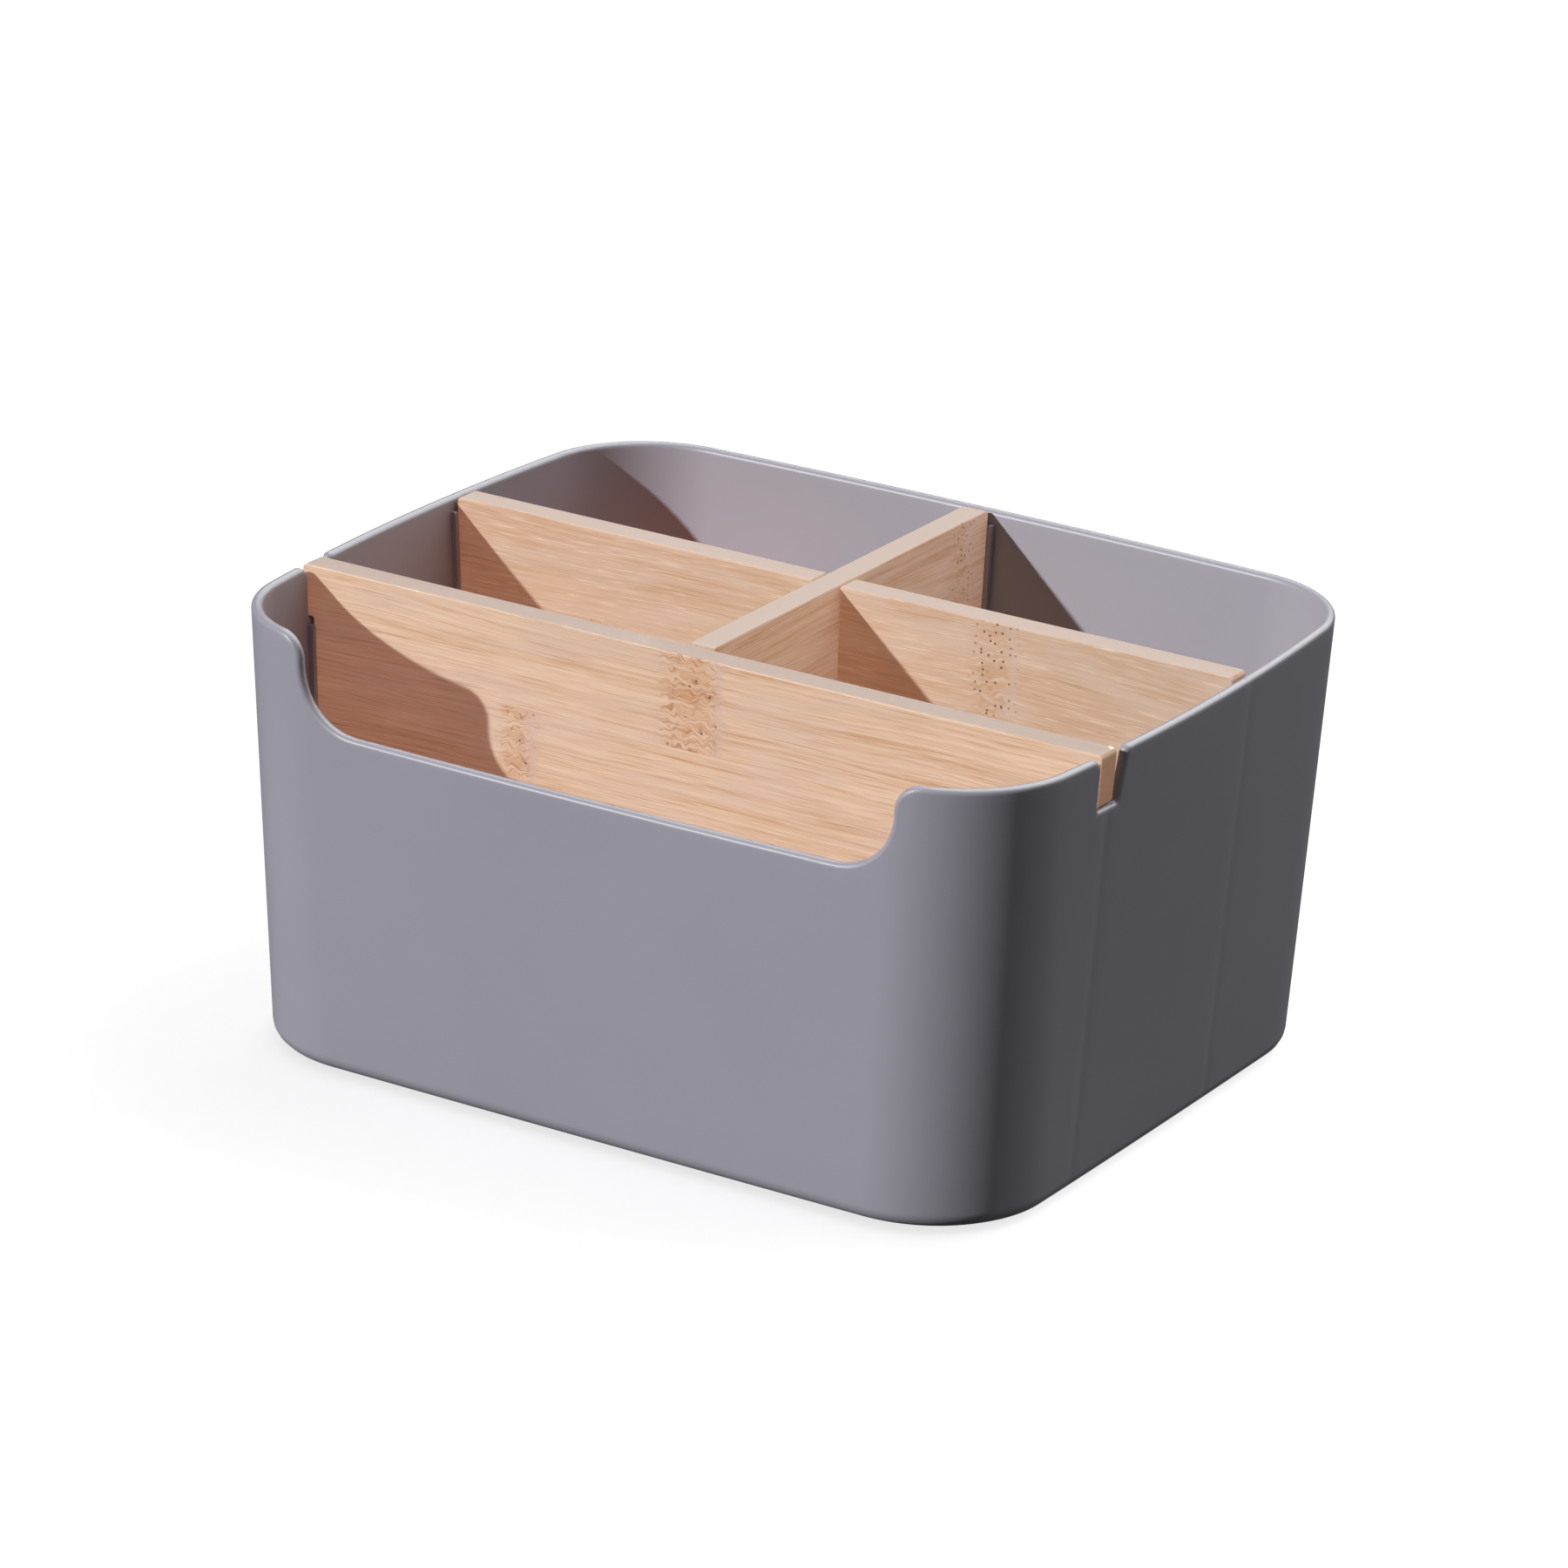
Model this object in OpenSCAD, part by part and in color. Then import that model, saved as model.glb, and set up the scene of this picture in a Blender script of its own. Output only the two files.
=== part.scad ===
// Desk storage box: a drafted, moulded shell with a low front, divided by three
// loose bamboo boards into a front pocket, two middle and two rear compartments.
// The origin is the centre of the outline on the surface that the box stands on.
// +Z points up, +Y to the back and +X to the right, seen from the low front.

/* [Shell] */
// Overall width at the rim
rim_w = 200; // [180:1:230]
// Overall depth at the rim
rim_d = 162.5; // [145:0.5:190]
// Height of the shell from its standing edge to the rim
shell_h = 97.5; // [85:0.5:120]
// How far the left and right walls lean in at the foot
side_draft = 6.4; // [3:0.1:9]
// How far the front and back walls lean in at the foot
front_draft = 5.1; // [3:0.1:8]
// Thickness of the walls
wall_t = 2.5; // [2:0.1:3.5]
// Thickness of the floor
floor_t = 2.5; // [2:0.1:4]
// Radius of the four upright corners, seen from above
corner_r = 28; // [20:1:34]
// How far the left and right walls bow out at the rim
side_bow = 5.8; // [2:0.1:8]
// How far the front and back walls bow out at the rim
front_bow = 3; // [1:0.1:5]
// Bow at the foot, as a share of the bow at the rim
foot_bow_share = 0.1; // [0.05:0.05:0.8]
// Fillet between the outside walls and the underside
foot_r = 3.6; // [2:0.1:5]
// Fillet between the inside walls and the floor
floor_r = 5; // [3:0.1:7]
// Rounding of the rim's edges, as a share of the walls' thickness
rim_round_share = 0.46; // [0.2:0.02:0.48]
// Depth of the recess in the underside, inside the standing edge
base_recess = 0.8; // [0.4:0.1:1.2]
// Width of the standing edge around that recess
standing_w = 6; // [4:0.5:10]

/* [Front cut-out] */
// Width of the low part of the front wall
cutout_w = 143.6; // [110:0.2:150]
// How far the low front's lip lies below the rim
cutout_depth = 20; // [16.5:0.5:40]
// Radius of the cut-out's two lower corners
cutout_low_r = 13.5; // [8:0.5:13.5]
// Radius at which the cut-out's sides round over into the rim
cutout_top_r = 6; // [2:0.5:6.5]

/* [Boards] */
// Thickness of the three boards
board_t = 6.2; // [5:0.1:8]
// Rounding of the long edges on top of the boards
board_edge_r = 0.5; // [0.3:0.1:1.5]
// Rounding of the boards' two upper corners, seen from the side
board_corner_r = 1.2; // [0.5:0.1:3]
// How far the boards' tops stand above the rim
board_proud = 0.2; // [0:0.1:2]
// Distance of the front board's back face in front of the middle of the box
front_board_y = 35.4; // [28:0.5:42]
// Distance of the middle board's back face behind the middle of the box
middle_board_y = 21.2; // [10:0.2:32]
// Distance of the cross board to the left of the middle of the box
cross_board_x = 1.8; // [0:0.2:20]
// Gap between the front board and the end of the cross board
cross_end_gap = 0.9; // [0.6:0.1:2]
// Gap between the ends of the boards and the walls
board_end_gap = 0.5; // [0.3:0.1:1]
// How far the ends of the front board's ears stand back from the outside walls
ear_recess = 0.6; // [0:0.1:1.2]
// Gap between the boards and the floor
board_seat_gap = 0.3; // [0.1:0.1:0.8]
// Gap on each side of a board in the half-lap slots
lap_gap = 0.3; // [0.2:0.1:0.6]

/* [Guides] */
// Depth of the side notches below the rim
notch_depth = 11.6; // [8:0.1:20]
// Gap in front of and behind the front board's ears at the notches' bottom
notch_gap = 0.5; // [0.3:0.1:1]
// How much wider than at the bottom the notches are at the rim, behind the ears
notch_flare = 1.9; // [0.5:0.1:2.5]
// Rounding of the notches' front corners at the rim
notch_front_r = 3; // [2:0.1:4]
// Rounding of the notches' rear corners at the rim
notch_back_r = 1.5; // [1:0.1:2]
// Rounding of the notches' two lower corners
notch_low_r = 0.8; // [0.4:0.1:1.2]
// Thickness of the upright guide ribs
rib_t = 1.2; // [0.8:0.1:2]
// How far a rib reaches along the face of its board
rib_grip = 0.8; // [0.6:0.1:3]
// Gap between a rib and the face of its board
rib_gap = 0.3; // [0.2:0.1:0.6]
// How far the ribs of the middle and cross boards end below the rim
rib_drop = 3; // [1:0.5:20]

/* [Foot pads] */
// Diameter of the four anti-slip pads
pad_d = 12; // [8:0.5:16]
// How far the pads lift the shell off the surface
pad_proud = 0.8; // [0.4:0.1:1.5]
// Distance of each pad's edge from the standing edge
pad_inset = 3; // [1:0.5:10]

/* [Hidden] */
$fn = 48;

// Steps that curves are drawn in
front_steps = 5;
horn_foot_steps = 8;
horn_top_steps = 5;
corner_steps = 11;
side_front_steps = 2;
notch_steps = 3;
side_rear_steps = 6;
rear_steps = 4;
fillet_steps = 4;
rim_steps = 3;

// Overrun of every cut past the face that it opens
over = 1;

// Places that several pieces share
board_top = shell_h + board_proud;
board_bottom = floor_t + board_seat_gap;
front_board_back = -front_board_y;
front_board_front = front_board_back - board_t;
middle_board_back = middle_board_y;
middle_board_front = middle_board_back - board_t;
middle_board_mid = middle_board_back - board_t / 2;
cross_board_left = -cross_board_x - board_t / 2;
cross_board_right = -cross_board_x + board_t / 2;
cross_board_front = front_board_back + cross_end_gap;
lap_h = (board_bottom + board_top) / 2;
rim_r = rim_round_share * min(wall_t, 2 * notch_back_r);
lip_h = shell_h - cutout_depth;
horn_foot_r = min(cutout_low_r, cutout_depth - cutout_top_r);
notch_h = shell_h - notch_depth;
notch_front = front_board_front - notch_gap;
notch_back = front_board_back + notch_gap;
rib_top = shell_h - rib_drop;
front_rib_top = notch_h - rim_r;

// The outline of the shell at height z has four bowed sides and four corners,
// eight arcs that touch each other. It shrinks evenly from the rim to the foot.
function toward_rim(foot, rim, z) = foot + (rim - foot) * z / shell_h;
function half_w(z) = toward_rim(rim_w / 2 - side_draft, rim_w / 2, z);
function half_d(z) = toward_rim(rim_d / 2 - front_draft, rim_d / 2, z);
function bow_radius(half_side, bow) = (half_side * half_side + bow * bow) / (2 * bow);
function side_arc_r(z) = bow_radius(half_d(z), side_bow * toward_rim(foot_bow_share, 1, z));
function front_arc_r(z) = bow_radius(half_w(z), front_bow * toward_rim(foot_bow_share, 1, z));
function side_arc_centre(z) = [half_w(z) - side_arc_r(z), 0];
function front_arc_centre(z) = [0, half_d(z) - front_arc_r(z)];

// Centre of the corner arc, which touches a side arc and a front arc from within
function corner_centre(z) =
    let (side = side_arc_centre(z),
         front = front_arc_centre(z),
         from_side = side_arc_r(z) - corner_r,
         from_front = front_arc_r(z) - corner_r,
         apart = norm(front - side),
         dir = (front - side) / apart,
         along = (from_side * from_side - from_front * from_front + apart * apart) / (2 * apart),
         across = sqrt(from_side * from_side - along * along))
    side + along * dir + across * [-dir[1], dir[0]];

// Points along one arc, without its last point, and with it
function arc_points(centre, r, from, to, steps) =
    [for (i = [0:steps - 1])
        let (t = from + (to - from) * i / steps)
        centre + r * [cos(t), sin(t)]];
function whole_arc(centre, r, from, to, steps) =
    concat(arc_points(centre, r, from, to, steps), [centre + r * [cos(to), sin(to)]]);

// The right half of the outline from the middle of the front to the middle of the
// back: half a front arc, a corner, a side, a corner and half a back arc. A run says
// how far round a place is. It counts the arcs and adds the share of the next one.
corner_start = 1;
side_start = 2;
side_end = 3;
rear_start = 4;
rear_middle = 5;

// Arc number k at height z as [centre, radius, first angle, last angle]
function wall_arc(k, z) =
    let (side = side_arc_centre(z),
         front = front_arc_centre(z),
         corner = corner_centre(z),
         t1 = atan2(corner[1], corner[0] - side[0]),
         t2 = atan2(corner[1] - front[1], corner[0]))
    k < corner_start ? [-front, front_arc_r(z), 270, 360 - t2]
    : k < side_start ? [[corner[0], -corner[1]], corner_r, 360 - t2, 360 - t1]
    : k < side_end ? [side, side_arc_r(z), 360 - t1, 360 + t1]
    : k < rear_start ? [corner, corner_r, 360 + t1, 360 + t2]
    : [front, front_arc_r(z), 360 + t2, 450];

// Point of the wall at a run and a height, moved in from the outside by inset
function wall_point(run, z, inset) =
    let (k = min(floor(run), rear_start),
         arc = wall_arc(k, z),
         t = arc[2] + (arc[3] - arc[2]) * (run - k),
         reach = arc[1] - inset)
    [arc[0][0] + reach * cos(t), arc[0][1] + reach * sin(t), z];

// The run where the front half of the outline passes x, or the right wall passes y
function run_at_front(x, z) =
    let (front = wall_arc(0, z),
         corner = wall_arc(corner_start, z))
    x <= front[1] * cos(front[3]) ? asin(x / front[1]) / (front[3] - front[2])
    : corner_start + (360 - acos((x - corner[0][0]) / corner[1]) - corner[2]) / (corner[3] - corner[2]);
function run_at_side(y, z) =
    let (side = wall_arc(side_start, z))
    side_start + (360 + asin(y / side[1]) - side[2]) / (side[3] - side[2]);

// Inner faces of the right wall at depth y and of the back wall at width x
function side_face(z, y) =
    side_arc_centre(z)[0] + sqrt(pow(side_arc_r(z) - wall_t, 2) - y * y);
function back_face(z, x) =
    front_arc_centre(z)[1] + sqrt(pow(front_arc_r(z) - wall_t, 2) - x * x);

// Upper edge of the front from its middle to the top of the right horn as [x, z]
// pairs, moved into the wall by drop: the lip, then an S-shaped end of two arcs
function low_front_edge(drop) =
    let (flat = cutout_w / 2 - horn_foot_r,
         top = cutout_w / 2 + cutout_top_r)
    concat(
        [for (i = [0:front_steps - 1]) [flat * i / front_steps, lip_h - drop]],
        arc_points([flat, lip_h + horn_foot_r], horn_foot_r + drop, 270, 360, horn_foot_steps),
        whole_arc([top, shell_h - cutout_top_r], cutout_top_r - drop, 180, 90, horn_top_steps));

// Upper edge round the right notch as [y, z] pairs: upright in front, leaning behind
function notch_edge(drop) =
    let (lean = atan(notch_flare / notch_depth),
         back_low = notch_back - notch_low_r * (1 - sin(lean)) / cos(lean),
         rise = notch_depth - notch_back_r,
         back_top = notch_back + (rise * sin(lean) + notch_back_r) / cos(lean))
    concat(
        whole_arc([notch_front - notch_front_r, shell_h - notch_front_r],
                  notch_front_r - drop, 90, 0, notch_steps),
        whole_arc([notch_front + notch_low_r, notch_h + notch_low_r],
                  notch_low_r + drop, 180, 270, notch_steps),
        whole_arc([back_low, notch_h + notch_low_r], notch_low_r + drop, 270, 360 - lean, notch_steps),
        whole_arc([back_top, shell_h - notch_back_r],
                  notch_back_r - drop, 180 - lean, 90, notch_steps));

// Runs of the plain rim between the horn and the notch and behind the notch
function steps_between(from, to, steps) = [for (i = [1:steps]) from + (to - from) * i / steps];
function without_last(list) = [for (i = [0:len(list) - 2]) list[i]];
function last(list) = list[len(list) - 1];
horn_end = run_at_front(last(low_front_edge(0))[0], shell_h);
notch_start = run_at_side(notch_edge(0)[0][0], shell_h);
notch_end = run_at_side(last(notch_edge(0))[0], shell_h);
corner_runs = concat(
    steps_between(horn_end, side_start, corner_steps),
    without_last(steps_between(side_start, notch_start, side_front_steps)));
rear_runs = concat(
    steps_between(notch_end, side_end, side_rear_steps),
    steps_between(side_end, rear_start, corner_steps),
    steps_between(rear_start, rear_middle, rear_steps));

// The whole upper edge of the right half as [run, height], moved into the wall by drop
function upper_edge(drop) = concat(
    [for (p = low_front_edge(drop)) [run_at_front(p[0], p[1]), p[1]]],
    [for (run = corner_runs) [run, shell_h - drop]],
    [for (p = notch_edge(drop)) [run_at_side(p[0], p[1]), p[1]]],
    [for (run = rear_runs) [run, shell_h - drop]]);

// Runs below the seam, one under each place of the upper edge. Under the horn and
// beside the notch they spread away from the opening, so that no two fall together.
horn_spread_share = 0.06;
notch_spread_share = 0.03;
seam_h = lip_h - horn_foot_r / 2;
function height_share(z, low, depth) = (z + rim_r - low) / depth;
lower_runs = concat(
    [for (p = low_front_edge(rim_r))
        run_at_front(p[0], p[1]) + horn_spread_share * height_share(p[1], lip_h, cutout_depth)],
    [for (run = corner_runs)
        run + lookup(run, [[horn_end, horn_spread_share], [notch_start, -notch_spread_share]])],
    [for (p = notch_edge(rim_r))
        run_at_side(p[0], p[1]) + sign(p[0] - (notch_front + notch_back) / 2)
            * notch_spread_share * height_share(p[1], notch_h, notch_depth)],
    [for (run = rear_runs)
        run + lookup(run, [[notch_end, notch_spread_share], [rear_middle, 0]])]);

// Sections through the wall, from the recess in the underside round the foot and up
// the outside, over the edge, and down the inside to the floor. Below the seam they
// are [inset, height] pairs and above it [inset, drop below the edge] pairs.
function share_steps(steps) = [for (i = [0:steps]) i / steps];
outer_section = concat(
    [[foot_r + standing_w, base_recess], [foot_r + standing_w, 0]],
    [for (s = share_steps(fillet_steps)) [foot_r * (1 - sin(90 * s)), foot_r * (1 - cos(90 * s))]],
    [[0, seam_h / 2], [0, seam_h]]);
edge_section = concat(
    [for (s = share_steps(rim_steps)) rim_r * [1 - cos(90 * s), 1 - sin(90 * s)]],
    [for (s = share_steps(rim_steps)) [wall_t - rim_r * (1 - sin(90 * s)), rim_r * (1 - cos(90 * s))]]);
inner_section = concat(
    [[wall_t, seam_h], [wall_t, seam_h / 2]],
    [for (s = share_steps(fillet_steps))
        [wall_t + floor_r * (1 - cos(90 * s)), floor_t + floor_r * (1 - sin(90 * s))]]);

// Rings all round the shell from points of its right half
function both_halves(points) = concat(
    points,
    [for (i = [len(points) - 2:-1:1]) [-points[i][0], points[i][1], points[i][2]]]);
function level_rings(section) =
    [for (s = section) both_halves([for (run = lower_runs) wall_point(run, s[1], s[0])])];
function edge_rings(section) =
    [for (s = section) both_halves([for (p = upper_edge(s[1])) wall_point(p[0], p[1], s[0])])];

// Skins a stack of rings, each a closed list of as many points, and caps both ends
module loft(rings) {
    count = len(rings[0]);
    last = len(rings) - 1;
    points = [for (ring = rings) for (p = ring) p];
    function at(ring, i) = ring * count + i % count;
    skin = [for (k = [0:last - 1]) for (i = [0:count - 1]) for (half = [0, 1])
        half == 0 ? [at(k, i), at(k + 1, i), at(k + 1, i + 1)]
                  : [at(k, i), at(k + 1, i + 1), at(k, i + 1)]];
    first_cap = [for (i = [0:count - 1]) at(0, i)];
    last_cap = [for (i = [count - 1:-1:0]) at(last, i)];
    polyhedron(points, concat([first_cap], skin, [last_cap]));
}

// The tub with its low front, horns and side notches, rounded all along the edge
module shell_body() {
    loft(concat(level_rings(outer_section), edge_rings(edge_section), level_rings(inner_section)));
}

// Stands a flat drawing in X and Z up and gives it a thickness along Y from y
module upright_xz(y, thickness) {
    translate([0, y + thickness, 0]) rotate([90, 0, 0]) linear_extrude(thickness) children();
}

// Stands a flat drawing in Y and Z up and gives it a thickness along X from x
module upright_yz(x, thickness) {
    translate([x, 0, 0]) rotate([90, 0, 90]) linear_extrude(thickness) children();
}

// Guide rib on the right wall, from y on, up to height top
module side_rib(y, top) {
    deepest = max(abs(y), abs(y + rib_t));
    reach = board_end_gap + rib_grip;
    root = wall_t / 2;
    upright_xz(y, rib_t)
        polygon([[side_face(floor_t, deepest) - reach, floor_t / 2],
                 [side_face(floor_t, deepest) + root, floor_t / 2],
                 [side_face(top, deepest) + root, top],
                 [side_face(top, deepest) - reach, top]]);
}

// Guide rib on the back wall, from x on
module back_rib(x) {
    widest = max(abs(x), abs(x + rib_t));
    reach = board_end_gap + rib_grip;
    root = wall_t / 2;
    upright_yz(x, rib_t)
        polygon([[back_face(floor_t, widest) - reach, floor_t / 2],
                 [back_face(floor_t, widest) + root, floor_t / 2],
                 [back_face(rib_top, widest) + root, rib_top],
                 [back_face(rib_top, widest) - reach, rib_top]]);
}

module guide_ribs() {
    before = rib_gap + rib_t;
    for (side = [0, 1]) {
        mirror([side, 0, 0]) {
            side_rib(front_board_front - before, front_rib_top);
            side_rib(front_board_back + rib_gap, front_rib_top);
            side_rib(middle_board_front - before, rib_top);
            side_rib(middle_board_back + rib_gap, rib_top);
        }
    }
    back_rib(cross_board_left - before);
    back_rib(cross_board_right + rib_gap);
}

// One moulded piece: tub, low front, notches and guide ribs
module shell() {
    color([0.58, 0.57, 0.6])
        translate([0, 0, pad_proud]) {
            shell_body();
            guide_ribs();
        }
}

// Outline of a board between a leaning and an upright or leaning end.
// Its lower corners are rounded to clear the fillet of the floor.
module board_outline(low_left, low_right, high_left, high_right, left_r, right_r) {
    round_steps = 5;
    polygon(concat(
        arc_points([low_left + left_r, board_bottom + left_r], left_r, 180, 270, round_steps),
        [[low_left + left_r, board_bottom]],
        arc_points([low_right - right_r, board_bottom + right_r], right_r, 270, 360, round_steps),
        [[low_right, board_bottom + right_r]],
        arc_points([high_right - board_corner_r, board_top - board_corner_r],
                   board_corner_r, 0, 90, round_steps),
        [[high_right - board_corner_r, board_top]],
        arc_points([high_left + board_corner_r, board_top - board_corner_r],
                   board_corner_r, 90, 180, round_steps),
        [[high_left, board_top - board_corner_r]]));
}

// Section of a board across its thickness, with its two long top edges rounded
module board_section() {
    square([board_t, board_top - board_edge_r]);
    translate([board_edge_r, 0]) square([board_t - 2 * board_edge_r, board_top]);
    for (edge = [board_edge_r, board_t - board_edge_r]) {
        translate([edge, board_top - board_edge_r]) circle(board_edge_r);
    }
}

// Board that spans the box from wall to wall, with its front face at y
module wide_board(y) {
    deepest = max(abs(y), abs(y + board_t));
    low = side_face(board_bottom, deepest) - board_end_gap;
    high = side_face(board_top, deepest) - board_end_gap;
    intersection() {
        upright_xz(y, board_t) board_outline(-low, low, -high, high, floor_r, floor_r);
        translate([-rim_w / 2, y, 0])
            rotate([90, 0, 90]) linear_extrude(rim_w) board_section();
    }
}

// Front board: its ears fill the side notches and end just inside the outside walls
module front_board() {
    ear_low = notch_h + board_seat_gap;
    deepest = -front_board_front;
    outside_low = side_face(ear_low, deepest) + wall_t - ear_recess;
    outside_high = side_face(board_top, deepest) + wall_t - ear_recess;
    color([0.87, 0.72, 0.58])
        translate([0, 0, pad_proud]) {
            wide_board(front_board_front);
            intersection() {
                upright_xz(front_board_front, board_t)
                    polygon([[-outside_low, ear_low], [outside_low, ear_low],
                             [outside_high, board_top - board_corner_r],
                             [outside_high - board_corner_r, board_top],
                             [board_corner_r - outside_high, board_top],
                             [-outside_high, board_top - board_corner_r]]);
                translate([-rim_w / 2, front_board_front, 0])
                    rotate([90, 0, 90]) linear_extrude(rim_w) board_section();
            }
        }
}

// Middle board: a half-lap slot, open at the top, takes the cross board
module middle_board() {
    slot_w = board_t + 2 * lap_gap;
    color([0.85, 0.7, 0.56])
        translate([0, 0, pad_proud])
            difference() {
                wide_board(middle_board_front);
                translate([-cross_board_x - slot_w / 2, middle_board_front - over, lap_h - lap_gap / 2])
                    cube([slot_w, board_t + 2 * over, board_top]);
            }
}

// Cross board: from the front board to the back wall, slotted from below
module cross_board() {
    widest = max(abs(cross_board_left), abs(cross_board_right));
    low = back_face(board_bottom, widest) - board_end_gap;
    high = back_face(board_top, widest) - board_end_gap;
    slot_w = board_t + 2 * lap_gap;
    front = cross_board_front;
    color([0.83, 0.67, 0.52])
        translate([0, 0, pad_proud])
            difference() {
                intersection() {
                    upright_yz(cross_board_left, board_t)
                        board_outline(front, low, front, high, board_corner_r, floor_r);
                    translate([cross_board_left, high, 0])
                        rotate([90, 0, 0]) linear_extrude(high - front) board_section();
                }
                translate([cross_board_left - over, middle_board_mid - slot_w / 2, 0])
                    cube([board_t + 2 * over, slot_w, lap_h + lap_gap / 2]);
            }
}

// Anti-slip disc stuck into the recess of the underside, near a corner
module foot_pad(side_x, side_y) {
    corner = corner_centre(0);
    edge_r = corner_r - foot_r - standing_w;
    reach = edge_r - pad_inset - pad_d / 2;
    place = corner + reach * [cos(45), sin(45)];
    color([0.15, 0.15, 0.16])
        translate([side_x * place[0], side_y * place[1], 0])
            cylinder(d = pad_d, h = pad_proud + base_recess);
}

module foot_pad_front_left() { foot_pad(-1, -1); }
module foot_pad_front_right() { foot_pad(1, -1); }
module foot_pad_rear_left() { foot_pad(-1, 1); }
module foot_pad_rear_right() { foot_pad(1, 1); }

shell();
front_board();
middle_board();
cross_board();
foot_pad_front_left();
foot_pad_front_right();
foot_pad_rear_left();
foot_pad_rear_right();
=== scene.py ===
"""Desk storage box: a moulded tub with a low front and three lift-out bamboo boards.

Sizes are in millimetres. Heights are measured from the tub's underside, which four
pads hold LIFT above the desk. +X points right along the low front and +Y to the back.
"""

import math
from functools import lru_cache

import bmesh
import bpy
from mathutils import Matrix, Quaternion, Vector
from mathutils.geometry import delaunay_2d_cdt


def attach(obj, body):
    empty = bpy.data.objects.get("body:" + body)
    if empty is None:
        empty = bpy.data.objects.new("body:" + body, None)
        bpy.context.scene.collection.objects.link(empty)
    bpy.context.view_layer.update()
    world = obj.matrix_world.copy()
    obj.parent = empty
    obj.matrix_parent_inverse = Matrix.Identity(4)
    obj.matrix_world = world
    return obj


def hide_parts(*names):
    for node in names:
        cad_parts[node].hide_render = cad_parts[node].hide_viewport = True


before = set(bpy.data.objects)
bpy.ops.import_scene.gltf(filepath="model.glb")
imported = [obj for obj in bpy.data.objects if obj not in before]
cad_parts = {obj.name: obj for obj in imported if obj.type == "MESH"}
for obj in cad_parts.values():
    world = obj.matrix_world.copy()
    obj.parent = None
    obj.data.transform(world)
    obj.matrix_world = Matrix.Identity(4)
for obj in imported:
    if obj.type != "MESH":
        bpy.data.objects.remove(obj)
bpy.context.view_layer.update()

# The tub: one moulding of grey ABS with leaning walls of even thickness, crowned
# sides and round corners. Its front is cut low between two S-shaped horns, each side
# has a notch for an ear of the front board, and thin ribs inside guide the boards.

MM = 0.001
LIFT = 0.8
RIM_WIDTH = 200
RIM_DEPTH = 162.5
TUB_HEIGHT = 97.5
SIDE_LEAN = 6.4
FRONT_LEAN = 5.1
WALL = 2.5
FLOOR = 2.5
CORNER_RADIUS = 28
SIDE_BOW = 5.8
FRONT_BOW = 3
FOOT_BOW_SHARE = 0.1
FOOT_FILLET = 3.6
FLOOR_FILLET = 5
RECESS = 0.8
STANDING_EDGE = 6
RIM_ROUNDING = 1.15

LOW_FRONT_WIDTH = 143.6
LOW_FRONT_DEPTH = 20
LIP = TUB_HEIGHT - LOW_FRONT_DEPTH
HORN_FOOT_RADIUS = 13.5
HORN_TOP_RADIUS = 6

BOARD = 6.2
BOARD_ABOVE_RIM = 0.2
BOARD_ABOVE_FLOOR = 0.3
BOARD_TOP = TUB_HEIGHT + BOARD_ABOVE_RIM
BOARD_BOTTOM = FLOOR + BOARD_ABOVE_FLOOR
FRONT_BOARD_BACK = -35.4
FRONT_BOARD_FRONT = FRONT_BOARD_BACK - BOARD
MIDDLE_BOARD_BACK = 21.2
MIDDLE_BOARD_FRONT = MIDDLE_BOARD_BACK - BOARD
CROSS_BOARD_MIDDLE = -1.8
CROSS_BOARD_LEFT = CROSS_BOARD_MIDDLE - BOARD / 2
END_GAP = 0.5

NOTCH_DEPTH = 11.6
NOTCH_BOTTOM = TUB_HEIGHT - NOTCH_DEPTH
NOTCH_GAP = 0.5
NOTCH_FLARE = 1.9
NOTCH_FRONT_RADIUS = 3
NOTCH_BACK_RADIUS = 1.5
NOTCH_LOW_RADIUS = 0.8

RIB = 1.2
RIB_GAP = 0.3
RIB_OVERLAP = 0.8
RIB_REACH = END_GAP + RIB_OVERLAP
RIB_BELOW_RIM = 3
RIB_TOP = TUB_HEIGHT - RIB_BELOW_RIM
FRONT_RIB_TOP = NOTCH_BOTTOM - RIM_ROUNDING
RIB_ROUNDING = 0.25


def toward_rim(foot, rim, z):
    return foot + (rim - foot) * z / TUB_HEIGHT


def bow_radius(half_side, bow):
    return (half_side**2 + bow**2) / (2 * bow)


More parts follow.
